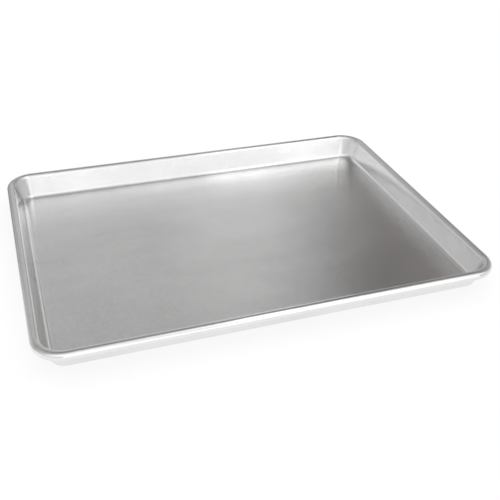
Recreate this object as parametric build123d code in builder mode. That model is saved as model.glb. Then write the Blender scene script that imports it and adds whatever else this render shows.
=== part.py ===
"""A jelly roll pan: one drawn aluminium sheet whose rim is curled round a steel wire.

Millimetres. +Z is up and the long side lies along X. The origin is the middle of the underside.
"""

from build123d import *
import math
import os

# Sizes over the whole pan
rim_length = 406.0          # over the rim, along X
rim_width = 305.0           # over the rim, along Y
pan_height = 24.2           # from the table to the top of the rim

# The drawn sheet
sheet_thickness = 1.0
wall_lean = 16.5            # degrees from upright, opening upward
bend_radius = 5.0           # inside the pan, where the floor turns up into the wall
floor_corner_radius = 8.5   # in plan, at the edge of the flat floor

# The rim and its wire
wire_diameter = 6.0
wire_clearance = 0.1        # between the wire and the sheet, all round
curl_slit = 0.3             # between the sheet's tucked edge and the wall
wire_end_gap = 2.0          # where the two ends of the wire butt
cut_overrun = 1.0           # how far a cut passes the face that it opens

# What the sizes above give: the curl, seen in a section square to the wall. Distances out from the
# pan and heights are taken from the middle of the wire.
curl_inner_radius = wire_diameter / 2 + wire_clearance
curl_outer_radius = curl_inner_radius + sheet_thickness
wire_height = pan_height - curl_outer_radius
tuck_angle = math.degrees(math.acos((curl_inner_radius - curl_slit) / curl_outer_radius))
curl_sweep = 360 - tuck_angle

# The middle of the bend lies as far over the floor as its radius, and as far inside the wall.
lean = math.radians(wall_lean)
bend_drop = wire_height - sheet_thickness - bend_radius
bend_inset = (bend_drop * math.sin(lean) + curl_outer_radius + bend_radius) / math.cos(lean)

# Plan sizes along the middle of the wire, and at the edge of the flat floor
wire_length_x = rim_length - 2 * curl_outer_radius
wire_length_y = rim_width - 2 * curl_outer_radius
wire_corner_radius = floor_corner_radius + bend_inset
floor_length = wire_length_x - 2 * bend_inset
floor_width = wire_length_y - 2 * bend_inset
wire_cut_height = wire_diameter + 2 * cut_overrun


def sheet_side(bend_face_radius, curl_face_radius):
    """Draw one face of the sheet, from the floor round the bend, up the wall and round the curl."""
    bend = CenterArc((-bend_inset, -bend_drop), bend_face_radius, -90, 90 - wall_lean)
    curl = CenterArc((0, 0), curl_face_radius, 180 - wall_lean, -curl_sweep)
    Line(bend @ 1, curl @ 0)
    return bend @ 0, curl @ 1


# The line that the rim follows: the middle of the wire
with BuildSketch(Plane.XY.offset(wire_height)) as rim_outline:
    RectangleRounded(wire_length_x, wire_length_y, wire_corner_radius)
rim_line = rim_outline.sketch.face().outer_wire()
rim_start_direction = rim_line % 0
outward = rim_start_direction.cross(Plane.XY.z_dir)
section_plane = Plane(origin=rim_line @ 0, x_dir=outward, z_dir=-rim_start_direction)

# The pan: the sheet's section goes once round the rim line, and a plate closes the floor.
with BuildPart() as pan_body:
    with BuildSketch(section_plane):
        with BuildLine():
            inside_start, inside_end = sheet_side(bend_radius, curl_outer_radius)
            outside_start, outside_end = sheet_side(bend_radius + sheet_thickness, curl_inner_radius)
            Line(inside_start, outside_start)
            Line(inside_end, outside_end)
        make_face()
    sweep(path=rim_line)
    with BuildSketch():
        RectangleRounded(floor_length, floor_width, floor_corner_radius)
    extrude(amount=sheet_thickness)
pan_body.part.label = "pan_body"

# The wire in the curl, open where its ends butt at the middle of the far side
with BuildPart() as rim_wire:
    with BuildSketch(section_plane):
        Circle(wire_diameter / 2)
    sweep(path=rim_line)
    with Locations((0, wire_length_y / 2, wire_height)):
        Box(wire_end_gap, wire_cut_height, wire_cut_height, mode=Mode.SUBTRACT)
rim_wire.part.label = "rim_wire"

os.makedirs("parts", exist_ok=True)
export_step(pan_body.part, "parts/pan_body.step")
export_step(rim_wire.part, "parts/rim_wire.step")
print("curl diameter", 2 * curl_outer_radius, "rim corner radius", wire_corner_radius + curl_outer_radius)
print("flat floor", floor_length, "by", floor_width)
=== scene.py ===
"""A jelly roll pan: one drawn sheet of bare aluminium whose rim is curled round a steel wire.

The file is laid out as an add-on. Its panel stands in the 3D view's sidebar, with one button for
the sheet, one for the wire and one for the studio. Lengths are in metres and +Z is up. The long
side lies along X, and the origin is the middle of the underside.
"""

import math

import bmesh
import bpy
from bpy.props import FloatProperty, FloatVectorProperty, IntProperty, PointerProperty
from mathutils import Matrix, Vector, noise


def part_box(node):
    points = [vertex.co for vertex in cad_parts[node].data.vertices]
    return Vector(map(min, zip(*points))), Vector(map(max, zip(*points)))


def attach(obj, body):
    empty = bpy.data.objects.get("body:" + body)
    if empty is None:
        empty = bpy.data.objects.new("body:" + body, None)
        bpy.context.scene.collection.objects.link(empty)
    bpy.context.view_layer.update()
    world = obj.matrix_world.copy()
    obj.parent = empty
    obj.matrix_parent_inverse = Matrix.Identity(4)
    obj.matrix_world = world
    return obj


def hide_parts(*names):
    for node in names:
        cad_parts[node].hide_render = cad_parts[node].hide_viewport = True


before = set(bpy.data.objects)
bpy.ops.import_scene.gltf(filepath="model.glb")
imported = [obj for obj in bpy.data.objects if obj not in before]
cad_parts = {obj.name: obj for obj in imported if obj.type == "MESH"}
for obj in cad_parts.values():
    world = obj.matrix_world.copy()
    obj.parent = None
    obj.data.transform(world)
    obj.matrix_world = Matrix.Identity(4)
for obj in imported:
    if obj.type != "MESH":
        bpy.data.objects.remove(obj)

bl_info = {
    "name": "Jelly Roll Pan",
    "version": (1, 0, 0),
    "blender": (4, 5, 0),
    "location": "View3D > Sidebar > Pan",
    "description": "Models a jelly roll pan with a rim curled round its wire",
    "category": "Add Mesh",
}

MM = 0.001
MICRON = 0.001 * MM
PAN_LOW, PAN_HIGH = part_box("pan_body")
WHITE = (1, 1, 1, 1)
MERGE_DISTANCE = 1 * MICRON
CORNER_REACH = 26 * MM      # how far the rounded corners reach along a side, at the rim
HIGHEST_FLOOR = 1.4 * MM    # just over the sheet's thickness, its crown and its ripples


class PanSizes(bpy.types.PropertyGroup):
    """Sizes of the sheet and how finely its curves are divided."""

    rim_length: FloatProperty(
        name="Rim Length", description="Over the rim, along X",
        default=PAN_HIGH.x - PAN_LOW.x, unit="LENGTH",
    )
    rim_width: FloatProperty(
        name="Rim Width", description="Over the rim, along Y",
        default=PAN_HIGH.y - PAN_LOW.y, unit="LENGTH",
    )
    height: FloatProperty(
        name="Height", description="From the table to the top of the rim",
        default=PAN_HIGH.z, unit="LENGTH",
    )
    sheet: FloatProperty(
        name="Sheet", description="Thickness of the sheet",
        default=1.0 * MM, unit="LENGTH",
    )
    curl: FloatProperty(
        name="Curl", description="Diameter over the curled rim",
        default=8.2 * MM, unit="LENGTH",
    )
    slit: FloatProperty(
        name="Slit", description="Between the sheet's tucked edge and the wall",
        default=0.3 * MM, unit="LENGTH",
    )
    lean: FloatProperty(
        name="Wall Lean", description="How far the walls lean outward",
        default=math.radians(16.5), unit="ROTATION",
    )
    bend: FloatProperty(
        name="Bend", description="Radius inside the pan where the floor turns up",
        default=5.0 * MM, unit="LENGTH",
    )
    corner: FloatProperty(
        name="Corner", description="Radius in plan at the edge of the flat floor",
        default=8.5 * MM, unit="LENGTH",
    )
    crown: FloatProperty(
        name="Crown", description="How far the drawn floor rises in its middle",
        default=0.25 * MM, unit="LENGTH",
    )
    ripple: FloatProperty(
        name="Ripple", description="Height of the floor's uneven stretches",
        default=0.05 * MM, unit="LENGTH",
    )
    curl_steps: IntProperty(
        name="Curl Steps", description="Faces round the curl",
        default=44, min=12,
    )
    bend_steps: IntProperty(
        name="Bend Steps", description="Faces round the bend",
        default=12, min=4,
    )
    corner_steps: IntProperty(
        name="Corner Steps", description="Faces round a corner",
        default=28, min=6,
    )
    side_steps: IntProperty(
        name="Side Steps", description="Faces along half a side",
        default=12, min=1,
    )
    floor_steps: IntProperty(
        name="Floor Steps", description="Cuts across the floor, each way",
        default=26, min=1,
    )


class PanColours(bpy.types.PropertyGroup):
    """Colours of the two metals, the table and the studio's unlit sides."""

    aluminium: FloatVectorProperty(
        name="Aluminium", description="Bare rolled sheet", subtype="COLOR", size=4,
        default=(0.89, 0.89, 0.89, 1),
    )
    dulled: FloatVectorProperty(
        name="Dulled", description="Sheet that has dulled in use", subtype="COLOR", size=4,
        default=(0.83, 0.83, 0.828, 1),
    )
    zinc: FloatVectorProperty(
        name="Zinc", description="Light grains of the galvanised wire", subtype="COLOR", size=4,
        default=(0.62, 0.63, 0.65, 1),
    )
    dark_zinc: FloatVectorProperty(
        name="Dark Zinc", description="Dark grains of the galvanised wire", subtype="COLOR", size=4,
        default=(0.45, 0.46, 0.48, 1),
    )
    shade: FloatVectorProperty(
        name="Shade", description="Tint of the studio's unlit sides", subtype="COLOR", size=4,
        default=(1.0, 0.94, 0.91, 1),
    )
    table: FloatVectorProperty(
        name="Table", description="The pale surface under the pan", subtype="COLOR", size=4,
        default=(0.25, 0.25, 0.25, 1),
    )
    table_in_metal: FloatVectorProperty(
        name="Table in Metal", description="The same surface as the metal shows it",
        subtype="COLOR", size=4, default=(0.2, 0.2, 0.2, 1),
    )


class StudioSettings(bpy.types.PropertyGroup):
    """Where the camera stands, and how bright the studio is."""

    azimuth: FloatProperty(
        name="Azimuth", description="Camera's place round the pan",
        default=math.radians(-19.78), unit="ROTATION",
    )
    elevation: FloatProperty(
        name="Elevation", description="Camera's height above the table",
        default=math.radians(33.13), unit="ROTATION",
    )
    roll: FloatProperty(
        name="Roll", description="Turn of the camera about its own line",
        default=math.radians(1.65), unit="ROTATION",
    )
    distance: FloatProperty(
        name="Distance", description="From the camera to the point it looks at",
        default=0.7114, unit="LENGTH",
    )
    target: FloatVectorProperty(
        name="Target", description="Point on the table that the camera looks at",
        subtype="TRANSLATION", default=(0.00994, -0.02324, 0.0),
    )
    lens: FloatProperty(
        name="Lens", description="Focal length in millimetres",
        default=53.08, unit="CAMERA",
    )
    ambient: FloatProperty(
        name="Ambient", description="Light that comes evenly from all round",
        default=1.0,
    )


def settings():
    """Return the scene's sizes, colours and studio settings."""
    scene = bpy.context.scene
    return scene.pan_sizes, scene.pan_colours, scene.pan_studio


def add_object(name, bm):
    """Turn a finished bmesh into an object at the origin."""
    mesh = bpy.data.meshes.new(name)
    bm.to_mesh(mesh)
    bm.free()
    made = bpy.data.objects.new(name, mesh)
    bpy.context.scene.collection.objects.link(made)
    return made


class Number:
    """A number that varies over a surface. Python's operators on it add Math nodes."""

    def __init__(self, nodes, socket):
        self.nodes = nodes
        self.socket = socket

    def maths(self, operation, *values):
        """Add one Math node that works on the given values."""
        made = self.nodes.add("ShaderNodeMath", {"operation": operation}, dict(enumerate(values)))
        return Number(self.nodes, made.outputs[0])

    def __add__(self, other):
        return self.maths("ADD", self, other)

    def __radd__(self, other):
        return self.maths("ADD", other, self)

    def __sub__(self, other):
        return self.maths("SUBTRACT", self, other)

    def __rsub__(self, other):
        return self.maths("SUBTRACT", other, self)

    def __mul__(self, other):
        return self.maths("MULTIPLY", self, other)

    def __rmul__(self, other):
        return self.maths("MULTIPLY", other, self)

    def __abs__(self):
        return self.maths("ABSOLUTE", self)

    def sign(self):
        """Give -1, 0 or 1."""
        return self.maths("SIGN", self)

    def above(self, low, high):
        """Rise smoothly from 0 at low to 1 at high."""
        made = self.nodes.add(
            "ShaderNodeMapRange",
            {"interpolation_type": "SMOOTHSTEP"},
            {"Value": self, "From Min": low, "From Max": high},
        )
        return Number(self.nodes, made.outputs["Result"])


class Nodes:
    """The nodes of one material or of the world. All of them come from its add method."""

    def __init__(self, tree):
        self.tree = tree
        tree.nodes.clear()

    def add(self, kind, choices=None, inputs=None):
        """Add a node of a kind, make its choices first, and then feed its sockets."""
        made = self.tree.nodes.new(kind)
        for name, choice in (choices or {}).items():
            setattr(made, name, choice)
        for key, value in (inputs or {}).items():
            if isinstance(value, Number):
                value = value.socket
            if isinstance(value, bpy.types.NodeSocket):
                self.tree.links.new(value, made.inputs[key])
            else:
                made.inputs[key].default_value = value
        return made

    def number(self, kind, output, choices=None, inputs=None):
        """Add a node and return one of its outputs as a number."""
        return Number(self, self.add(kind, choices, inputs).outputs[output])

    def vector(self, x, y, z):
        """Join three numbers into a vector."""
        return self.add("ShaderNodeCombineXYZ", None, {"X": x, "Y": y, "Z": z}).outputs[0]

    def parts(self, vector):
        """Split a vector into three numbers."""
        made = self.add("ShaderNodeSeparateXYZ", None, {0: vector})
        return [Number(self, socket) for socket in made.outputs]

    def noise(self, vector, scale=1.0, detail=2.0, roughness=0.5):
        """Add a noise of about so many waves to each unit of the vector."""
        values = {"Vector": vector, "Scale": scale, "Detail": detail, "Roughness": roughness}
        return self.number("ShaderNodeTexNoise", 0, None, values)

    def mix(self, share, first, second):
        """Mix two colours."""
        made = self.add("ShaderNodeMix", {"data_type": "RGBA"}, {0: share, 6: first, 7: second})
        return made.outputs[2]

    def finish(self, surface, kind="ShaderNodeOutputMaterial"):
        """Lead a shader to the output."""
        self.add(kind, None, {"Surface": surface.outputs[0]})


def new_material(name):
    """Make a material and return it with its nodes."""
    material = bpy.data.materials.new(name)
    material.use_nodes = True
    return material, Nodes(material.node_tree)


# The corners' drawing marks: how far inside a corner they are full, the heights at which they start
# and are full, and their waves to each radian round the corner and to the metre up
CORNER_FADE = 8 * MM
MARKS_START, MARKS_FULL = 1.5 * MM, 6 * MM
MARKS_ROUND, MARKS_UP = 26.0, 30.0

# The turns, from the end wall, between which the grain in a corner passes into the long wall's
END_WALL_TURN, LONG_WALL_TURN = math.radians(10), math.radians(80)


def blank_coordinates(nodes, sizes):
    """Give the place on the flat blank before it was drawn: along and across the rolled grain.

    On a wall the height goes on where the floor left off, so the grain runs on up the wall. In a
    corner the end wall's way passes slowly into the long wall's. Also given are the plain place,
    coordinates that run round and up a corner, and how fully a place lies in one.
    """
    place = nodes.add("ShaderNodeTexCoord").outputs["Object"]
    x, y, z = nodes.parts(place)
    out_x = abs(x) - (sizes.rim_length / 2 - CORNER_REACH)
    out_y = abs(y) - (sizes.rim_width / 2 - CORNER_REACH)
    turn = out_x.maths("ARCTAN2", out_y, out_x)
    on_long_wall = turn.above(END_WALL_TURN, LONG_WALL_TURN)
    rise = z.maths("MAXIMUM", z - HIGHEST_FLOOR, 0.0)
    along = x + x.sign() * rise * (1 - on_long_wall)
    across = y + y.sign() * rise * on_long_wall
    in_corner = out_x.above(0.0, CORNER_FADE) * out_y.above(0.0, CORNER_FADE)
    in_corner = in_corner * z.above(MARKS_START, MARKS_FULL)
    round_corner = nodes.vector(turn * MARKS_ROUND, z * MARKS_UP, x.sign() + 2 * y.sign())
    return place, along, across, round_corner, in_corner


# The sheet's streaks: waves to the metre along and across the grain, and which layer of the noise
FINE_GRAIN = (300.0, 12000.0, 0.0)
COARSE_GRAIN = (9.0, 900.0, 5.0)
WIPES = (8.0, 30.0, 2.0)
BLOTCHES = (14.0, 3.0, 0.55)    # waves to the metre each way, and the noise's detail and roughness

# The scratches' slants to the grain in radians, with their waves to the metre across
SCRATCHES = ((0.35, 1500.0), (-1.1, 1300.0))
SCRATCH_RUN = 14.0          # waves to the metre along a scratch
SCRATCH_PATCHES = 23.0      # waves to the metre of the patches that hold scratches
PATCH_LAYERS = 3.0          # keeps the two slants' patches in layers of the noise that differ

# The levels of each noise between which its mark comes in, and how much each one dulls the colour
SCRATCH_LEVELS, PATCH_LEVELS = (0.72, 0.76), (0.5, 0.62)
BLOTCH_LEVELS, WIPE_LEVELS = (0.35, 0.7), (0.4, 0.7)
BLOTCH_DULLING, WIPE_DULLING = 0.6, 0.4

# How far each mark stands up from the sheet, and how rough the sheet and its marks are
FINE_GRAIN_HEIGHT = 22 * MICRON
COARSE_GRAIN_HEIGHT = 0.6 * MICRON
BLOTCH_HEIGHT = 6 * MICRON
DRAWING_MARK_HEIGHT = 12 * MICRON
SCRATCH_DEPTH = 1.5 * MICRON
SATIN, BLOTCH_ROUGHNESS, WIPE_ROUGHNESS, SCRATCH_ROUGHNESS = 0.07, 0.04, 0.02, 0.06
BUMP_FILTER = 0.001         # small, so that the fine grain keeps its shape
MIDDLE = 0.5                # what a noise gives on the whole


def streaks(nodes, along, across, waves, detail):
    """Give a noise that is drawn out along the grain."""
    waves_along, waves_across, layer = waves
    stretched = nodes.vector(along * waves_along, across * waves_across, layer)
    return nodes.noise(stretched, detail=detail)


def scratches(nodes, along, across, slant, fineness):
    """Give thin broken lines at one slant: 1 in a scratch and 0 elsewhere."""
    run = along * math.cos(slant) + across * math.sin(slant)
    aside = across * math.cos(slant) - along * math.sin(slant)
    lines = nodes.noise(nodes.vector(run * SCRATCH_RUN, aside * fineness, slant), detail=0.0)
    patches = nodes.noise(nodes.vector(run, aside, slant * PATCH_LAYERS), SCRATCH_PATCHES, 1.0)
    return lines.above(*SCRATCH_LEVELS) * patches.above(*PATCH_LEVELS)


def aluminium_finish():
    """Make the bare satin sheet: rolled grain, soft blotches, fine scratches and drawing marks."""
    sizes, colours, _ = settings()
    material, nodes = new_material("satin_aluminium")
    place, along, across, round_corner, in_corner = blank_coordinates(nodes, sizes)

    fine_grain = streaks(nodes, along, across, FINE_GRAIN, 0.0)
    coarse_grain = streaks(nodes, along, across, COARSE_GRAIN, 2.0)
    wipes = streaks(nodes, along, across, WIPES, 2.0)
    blotches = nodes.noise(place, *BLOTCHES)
    first, second = (scratches(nodes, along, across, *each) for each in SCRATCHES)
    scratched = first + second

    # The corners are drawn, which leaves faint upright lines on their walls.
    drawing_marks = (nodes.noise(round_corner) - MIDDLE) * in_corner

    height = (
        fine_grain * FINE_GRAIN_HEIGHT
        + coarse_grain * COARSE_GRAIN_HEIGHT
        + blotches * BLOTCH_HEIGHT
        + drawing_marks * DRAWING_MARK_HEIGHT
        - scratched * SCRATCH_DEPTH
    )
    bump_inputs = {"Strength": 1.0, "Distance": 1.0, "Filter Width": BUMP_FILTER, "Height": height}
    bump = nodes.add("ShaderNodeBump", None, bump_inputs)

    dulled_by_blotches = blotches.above(*BLOTCH_LEVELS) * BLOTCH_DULLING
    dulled_by_wipes = wipes.above(*WIPE_LEVELS) * WIPE_DULLING
    dulling = dulled_by_blotches + dulled_by_wipes
    colour = nodes.mix(dulling, colours.aluminium, colours.dulled)
    roughness = SATIN + (blotches - MIDDLE) * BLOTCH_ROUGHNESS + (wipes - MIDDLE) * WIPE_ROUGHNESS
    roughness = roughness + scratched * SCRATCH_ROUGHNESS
    shader = nodes.add(
        "ShaderNodeBsdfPrincipled",
        None,
        {"Base Color": colour, "Metallic": 1.0, "Roughness": roughness, "Normal": bump.outputs[0]},
    )
    nodes.finish(shader)
    return material


# The galvanised wire's zinc: waves to the metre, the levels between which a grain turns pale,
# heights and roughness
ZINC_GRAINS, ZINC_FROST = 700.0, 2500.0
ZINC_LEVELS = (0.1, 0.8)
ZINC_GRAIN_HEIGHT, ZINC_FROST_HEIGHT = 4 * MICRON, 1 * MICRON
ZINC_ROUGHNESS, FROST_ROUGHNESS = 0.34, 0.2


def zinc_finish():
    """Make the galvanised wire: a frosty patchwork of zinc grains."""
    _, colours, _ = settings()
    material, nodes = new_material("galvanised_steel")
    place = nodes.add("ShaderNodeTexCoord").outputs["Object"]
    grain_inputs = {"Vector": place, "Scale": ZINC_GRAINS}
    grains = nodes.number("ShaderNodeTexVoronoi", "Distance", {"feature": "F1"}, grain_inputs)
    frost = nodes.noise(place, ZINC_FROST)
    pale = grains.above(*ZINC_LEVELS)
    colour = nodes.mix(pale, colours.dark_zinc, colours.zinc)
    height = grains * ZINC_GRAIN_HEIGHT + frost * ZINC_FROST_HEIGHT
    bump = nodes.add("ShaderNodeBump", None, {"Distance": 1.0, "Height": height})
    roughness = ZINC_ROUGHNESS + frost * FROST_ROUGHNESS
    shader = nodes.add(
        "ShaderNodeBsdfPrincipled",
        None,
        {"Base Color": colour, "Metallic": 1.0, "Roughness": roughness, "Normal": bump.outputs[0]},
    )
    nodes.finish(shader)
    return material


WALL_STEPS = 3                      # faces up the wall
SHARP_EDGE = math.radians(50)       # edges that turn further than this aren't smoothed
LEVEL_NORMAL = 0.999                # the least that a level face's normal points up or down
RIPPLE_LENGTH = 70 * MM
CROWN_FADE = 0.75                   # how gently the crown and the ripples start at the floor's edge


def go_round(bm, geometry, centre, axis, angle, steps):
    """Spin vertices or edges about an axis and return where they end."""
    made = bmesh.ops.spin(bm, geom=geometry, cent=centre, axis=axis, angle=angle, steps=steps)
    return made["geom_last"]


def go_straight(bm, geometry, way, steps):
    """Carry vertices or edges along a straight way in steps and return where they end."""
    no_turn = {"cent": (0, 0, 0), "axis": (0, 0, 1), "angle": 0.0}
    made = bmesh.ops.spin(bm, geom=geometry, dvec=Vector(way) / steps, steps=steps, **no_turn)
    return made["geom_last"]


def first_vertex(geometry):
    """Pick the vertex out of a spin's last geometry."""
    return next(part for part in geometry if isinstance(part, bmesh.types.BMVert))


def edges_of(geometry):
    """Pick the edges out of a spin's last geometry."""
    return [part for part in geometry if isinstance(part, bmesh.types.BMEdge)]


def draw_section(bm, sizes, middle):
    """Draw the sheet's section at the middle of the far side, and return how far in its floor ends.

    middle is the middle of the wire. The section starts on the floor's top and runs round the bend,
    up the wall and over the curl on the inner face, and back to the underside on the outer face.
    """
    curl_outer = sizes.curl / 2
    curl_inner = curl_outer - sizes.sheet
    drop = middle.z - sizes.sheet - sizes.bend
    inset = (drop * math.sin(sizes.lean) + curl_outer + sizes.bend) / math.cos(sizes.lean)
    bend_middle = middle + Vector((0, -inset, -drop))
    tuck = math.acos((curl_inner - sizes.slit) / curl_outer)
    bend_turn = math.pi / 2 - sizes.lean
    curl_turn = 2 * math.pi - tuck
    wall_side = Vector((0, -math.cos(sizes.lean), math.sin(sizes.lean)))
    along_x = (1, 0, 0)

    start = bm.verts.new(bend_middle - Vector((0, 0, sizes.bend)))
    end = first_vertex(go_round(bm, [start], bend_middle, along_x, bend_turn, sizes.bend_steps))
    wall_top = middle + wall_side * curl_outer
    end = first_vertex(go_straight(bm, [end], wall_top - end.co, WALL_STEPS))
    end = first_vertex(go_round(bm, [end], middle, along_x, -curl_turn, sizes.curl_steps))
    end = first_vertex(go_straight(bm, [end], (middle - end.co).normalized() * sizes.sheet, 1))
    end = first_vertex(go_round(bm, [end], middle, along_x, curl_turn, sizes.curl_steps))
    outer_bend_end = bend_middle - wall_side * (sizes.bend + sizes.sheet)
    end = first_vertex(go_straight(bm, [end], outer_bend_end - end.co, WALL_STEPS))
    go_round(bm, [end], bend_middle, along_x, -bend_turn, sizes.bend_steps)
    return inset


def build_sheet():
    """Model the pan's sheet as one closed mesh: a quarter swept from the section, then mirrored."""
    sizes, _, _ = settings()
    curl_outer = sizes.curl / 2
    half_x = sizes.rim_length / 2 - curl_outer
    half_y = sizes.rim_width / 2 - curl_outer
    bm = bmesh.new()
    inset = draw_section(bm, sizes, Vector((0, half_y, sizes.height - curl_outer)))
    corner = sizes.corner + inset
    corner_middle = Vector((half_x - corner, half_y - corner, 0))
    upright = (0, 0, 1)
    edges = bm.edges[:]
    edges = edges_of(go_straight(bm, edges, (corner_middle.x, 0, 0), sizes.side_steps))
    edges = edges_of(go_round(bm, edges, corner_middle, upright, -math.pi / 2, sizes.corner_steps))
    go_straight(bm, edges, (0, -corner_middle.y, 0), sizes.side_steps)
    for axis in "XY":
        everything = bm.verts[:] + bm.edges[:] + bm.faces[:]
        bmesh.ops.mirror(
            bm, geom=everything, matrix=Matrix.Identity(4), merge_dist=MERGE_DISTANCE, axis=axis
        )
    bmesh.ops.remove_doubles(bm, verts=bm.verts, dist=MERGE_DISTANCE)
    rim_of_floor = [edge for edge in bm.edges if edge.is_boundary]
    bmesh.ops.holes_fill(bm, edges=rim_of_floor, sides=0)
    raise_floor(bm, sizes, half_x - inset, half_y - inset)
    bmesh.ops.recalc_face_normals(bm, faces=bm.faces)
    for face in bm.faces:
        face.smooth = True
    for edge in bm.edges:
        edge.smooth = edge.calc_face_angle(0.0) < SHARP_EDGE
    return add_object("pan_sheet", bm)


def raise_floor(bm, sizes, floor_x, floor_y):
    """Cut the flat floor into a grid and lift it into its shallow crown and ripples."""
    for step in range(1, sizes.floor_steps):
        share = 2 * step / sizes.floor_steps - 1
        for normal, reach in (((1, 0, 0), floor_x), ((0, 1, 0), floor_y)):
            flat = [face for face in bm.faces if is_floor(face, floor_x, floor_y)]
            edges = list({edge for face in flat for edge in face.edges})
            corners = list({corner for face in flat for corner in face.verts})
            bmesh.ops.bisect_plane(
                bm, geom=flat + edges + corners, dist=MERGE_DISTANCE,
                plane_co=Vector(normal) * reach * share, plane_no=normal,
            )
    for vertex in bm.verts:
        across_x = 1 - min(1.0, (vertex.co.x / floor_x) ** 2)
        across_y = 1 - min(1.0, (vertex.co.y / floor_y) ** 2)
        if vertex.co.z < 2 * sizes.sheet and across_x * across_y > 0:
            place = Vector((vertex.co.x, vertex.co.y, 0)) / RIPPLE_LENGTH
            lift = sizes.crown + sizes.ripple * noise.noise(place)
            vertex.co.z += lift * (across_x * across_y) ** CROWN_FADE


def is_floor(face, floor_x, floor_y):
    """Tell whether a face is part of the flat floor, on either side, and more than a triangle."""
    middle = face.calc_center_median()
    inside = abs(middle.x) < floor_x and abs(middle.y) < floor_y
    return inside and abs(face.normal.z) > LEVEL_NORMAL and len(face.verts) > 3


class PAN_OT_sheet(bpy.types.Operator):
    """Model the drawn aluminium sheet with its curled rim"""

    bl_idname = "pan.sheet"
    bl_label = "Sheet"

    def execute(self, context):
        sheet = build_sheet()
        sheet.data.materials.append(aluminium_finish())
        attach(sheet, "root")
        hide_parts("pan_body")
        return {"FINISHED"}


class PAN_OT_wire(bpy.types.Operator):
    """Give the wire inside the curl its galvanised finish"""

    bl_idname = "pan.wire"
    bl_label = "Wire"

    def execute(self, context):
        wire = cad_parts["rim_wire"]
        wire.data.materials.clear()
        wire.data.materials.append(zinc_finish())
        return {"FINISHED"}


# What the metal sees round it: an even level, which each glow raises and each shade lowers inside
# a window with soft edges. A window measured by compass has the way of its middle, from +Y towards
# +X, its half width, and its lowest and highest elevation. The sheet's grain blurs what it shows
# along bows that rise from the far horizon over the pan to the near one. A window measured by bow
# has the side angle of its middle, its half width, and where on the bow it starts and ends, from 0
# at the far horizon to 180 at the near one. Then come the width of the soft edges and the change.
STUDIO_LEVEL = 0.52
GLOWS = {
    "upper back": ("bow", 0.0, 120.0, 48.0, 70.0, 10.0, -0.30),
    "far overhead": ("bow", 0.0, 120.0, 70.0, 94.0, 10.0, -0.18),
    "overhead": ("bow", 0.0, 120.0, 94.0, 118.0, 10.0, 0.25),
    "high front": ("bow", 0.0, 120.0, 118.0, 158.0, 8.0, 0.45),
    "low front": ("bow", 0.0, 120.0, 158.0, 190.0, 8.0, 0.22),
    "lamp": ("bow", 19.2, 4.9, 84.0, 136.0, 1.0, 0.16),
    "lamp middle": ("bow", 16.5, 2.2, 84.0, 136.0, 1.0, 0.18),
    "left shade": ("bow", -55.0, 35.0, 92.0, 190.0, 10.0, -0.1),
    "right shade": ("bow", 60.0, 28.0, 92.0, 190.0, 10.0, -0.2),
    "dark stand": ("compass", 35.0, 8.0, 14.0, 52.0, 4.0, -0.27),
    "lit wall": ("compass", 17.5, 5.0, 8.0, 30.0, 6.0, 0.15),
    "left gap": ("compass", -24.0, 9.0, 0.0, 34.0, 6.0, -0.15),
    "left wall": ("compass", -48.0, 12.0, 6.0, 44.0, 6.0, 0.1),
    "right lamp": ("compass", 134.0, 25.0, 20.0, 74.0, 6.0, 0.3),
    "left lamp": ("compass", 205.0, 33.0, 14.0, 60.0, 6.0, 0.15),
    "low window": ("compass", 166.0, 26.0, -10.0, 20.0, 6.0, 0.6),
}


def window(value, low, high, edge):
    """Give 1 between low and high and 0 outside, changing softly from edge before to edge past."""
    return value.above(low - edge, low + edge) * (1 - value.above(high - edge, high + edge))


def studio_glow(nodes):
    """Give the studio's brightness in each direction."""
    way = nodes.add("ShaderNodeTexCoord").outputs["Object"]
    x, y, z = nodes.parts(way)
    aside, over = x.maths("ARCSINE", x), z.maths("ARCTAN2", z, y)
    elevation = z.maths("ARCSINE", z)
    level = STUDIO_LEVEL
    for measure, *angles, change in GLOWS.values():
        turn, reach, start, end, soft = (math.radians(angle) for angle in angles)
        edge = soft / 2
        if measure == "bow":
            off_middle, height = abs(aside - turn), over
        else:
            sideways = x * math.cos(turn) - y * math.sin(turn)
            ahead = x * math.sin(turn) + y * math.cos(turn)
            off_middle, height = abs(sideways.maths("ARCTAN2", sideways, ahead)), elevation
        share = 1 - off_middle.above(reach - edge, reach + edge)
        level = level + share * window(height, start, end, edge) * change
    return level.maths("MAXIMUM", level, 0.0)


# The table glows by itself, so that it shows white round its shadow. The metal shows it pale in
# front of the pan and darker behind, which draws the dark line along the far rim.
TABLE_RADIUS = 12.0                 # metres
TABLE_SIDES = 96
TABLE_DROP = 0.2 * MM               # how far the table lies below the pan
TABLE_GLOW = 0.77
TABLE_GLOW_IN_METAL = 0.75
DARKER_BEHIND = 0.65
TABLE_FRONT, TABLE_BACK = -120 * MM, 160 * MM


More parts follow.
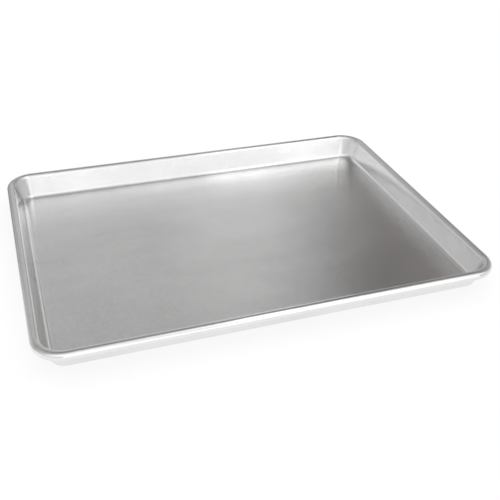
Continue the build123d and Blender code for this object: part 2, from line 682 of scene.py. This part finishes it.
def add_table():
    """Add the pale surface that the pan stands on, white to the camera and darker in the metal."""
    _, colours, _ = settings()
    bm = bmesh.new()
    bmesh.ops.create_circle(bm, cap_ends=True, segments=TABLE_SIDES, radius=TABLE_RADIUS)
    bmesh.ops.translate(bm, verts=bm.verts, vec=(0, 0, -TABLE_DROP))
    table = add_object("studio_table", bm)
    material, nodes = new_material("pale_table")
    seen = nodes.add("ShaderNodeLightPath")
    by_camera = Number(nodes, seen.outputs["Is Camera Ray"])
    in_metal = Number(nodes, seen.outputs["Is Glossy Ray"])
    own = nodes.mix(in_metal, colours.table, colours.table_in_metal)
    matt = nodes.add("ShaderNodeBsdfDiffuse", None, {"Color": own})
    _, y, _ = nodes.parts(nodes.add("ShaderNodeTexCoord").outputs["Object"])
    glow_in_metal = TABLE_GLOW_IN_METAL - y.above(TABLE_FRONT, TABLE_BACK) * DARKER_BEHIND
    glow = by_camera * TABLE_GLOW + in_metal * glow_in_metal
    lift = nodes.add("ShaderNodeEmission", None, {"Color": WHITE, "Strength": glow})
    nodes.finish(nodes.add("ShaderNodeAddShader", None, {0: matt.outputs[0], 1: lift.outputs[0]}))
    table.data.materials.append(material)


# The studio's brightness between which its tint passes from that of its unlit sides to white
UNLIT, LIT = 0.1, 0.55


def light_world():
    """Light the pan evenly from all round, and show the studio in reflections alone.

    Where the camera sees past the table, the world is white.
    """
    _, colours, studio = settings()
    world = bpy.data.worlds.new("pale_world")
    bpy.context.scene.world = world
    world.use_nodes = True
    nodes = Nodes(world.node_tree)
    seen = nodes.add("ShaderNodeLightPath")
    by_camera = Number(nodes, seen.outputs["Is Camera Ray"])
    in_metal = Number(nodes, seen.outputs["Is Glossy Ray"])
    glow = studio_glow(nodes)
    strength = by_camera + in_metal * glow + (1 - by_camera) * (1 - in_metal) * studio.ambient
    tint = nodes.mix(glow.above(UNLIT, LIT) + (1 - in_metal), colours.shade, WHITE)
    nodes.finish(
        nodes.add("ShaderNodeBackground", None, {"Color": tint, "Strength": strength}),
        "ShaderNodeOutputWorld",
    )


def place_camera():
    """Stand the camera where the photograph was taken from."""
    _, _, studio = settings()
    camera = bpy.data.objects.new("camera", bpy.data.cameras.new("camera"))
    bpy.context.scene.collection.objects.link(camera)
    azimuth, elevation = studio.azimuth, studio.elevation
    back = Vector((
        math.sin(azimuth) * math.cos(elevation),
        -math.cos(azimuth) * math.cos(elevation),
        math.sin(elevation),
    ))
    camera.location = Vector(studio.target) + back * studio.distance
    camera.rotation_mode = "QUATERNION"
    upright = (-back).to_track_quat("-Z", "Y")
    camera.rotation_quaternion = upright @ Matrix.Rotation(studio.roll, 3, "Z").to_quaternion()
    camera.data.lens = studio.lens
    camera.data.clip_start = 10 * MM
    bpy.context.scene.camera = camera


class PAN_OT_studio(bpy.types.Operator):
    """Set up the table, the soft light round the pan and the camera"""

    bl_idname = "pan.studio"
    bl_label = "Studio"

    def execute(self, context):
        add_table()
        light_world()
        place_camera()
        context.scene.view_settings.view_transform = "Standard"
        return {"FINISHED"}


class VIEW3D_PT_pan(bpy.types.Panel):
    """The pan's buttons and sizes"""

    bl_label = "Jelly Roll Pan"
    bl_space_type = "VIEW_3D"
    bl_region_type = "UI"
    bl_category = "Pan"

    def draw(self, context):
        layout = self.layout
        for step in STEPS:
            layout.operator(step.bl_idname)
        for group in (context.scene.pan_sizes, context.scene.pan_colours, context.scene.pan_studio):
            box = layout.box()
            for name in group.bl_rna.properties.keys():
                if name not in ("rna_type", "name"):
                    box.prop(group, name)


STEPS = (PAN_OT_sheet, PAN_OT_wire, PAN_OT_studio)
CLASSES = (PanSizes, PanColours, StudioSettings, *STEPS, VIEW3D_PT_pan)


def register():
    """Add the add-on's classes and the scene's settings."""
    for made in CLASSES:
        bpy.utils.register_class(made)
    bpy.types.Scene.pan_sizes = PointerProperty(type=PanSizes)
    bpy.types.Scene.pan_colours = PointerProperty(type=PanColours)
    bpy.types.Scene.pan_studio = PointerProperty(type=StudioSettings)


def unregister():
    """Take the add-on's classes and settings away again."""
    del bpy.types.Scene.pan_studio
    del bpy.types.Scene.pan_colours
    del bpy.types.Scene.pan_sizes
    for made in reversed(CLASSES):
        bpy.utils.unregister_class(made)


def main():
    """Register the add-on and run its steps in order."""
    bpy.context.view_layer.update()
    register()
    bpy.ops.pan.sheet()
    bpy.ops.pan.wire()
    bpy.ops.pan.studio()


if __name__ == "__main__":
    main()
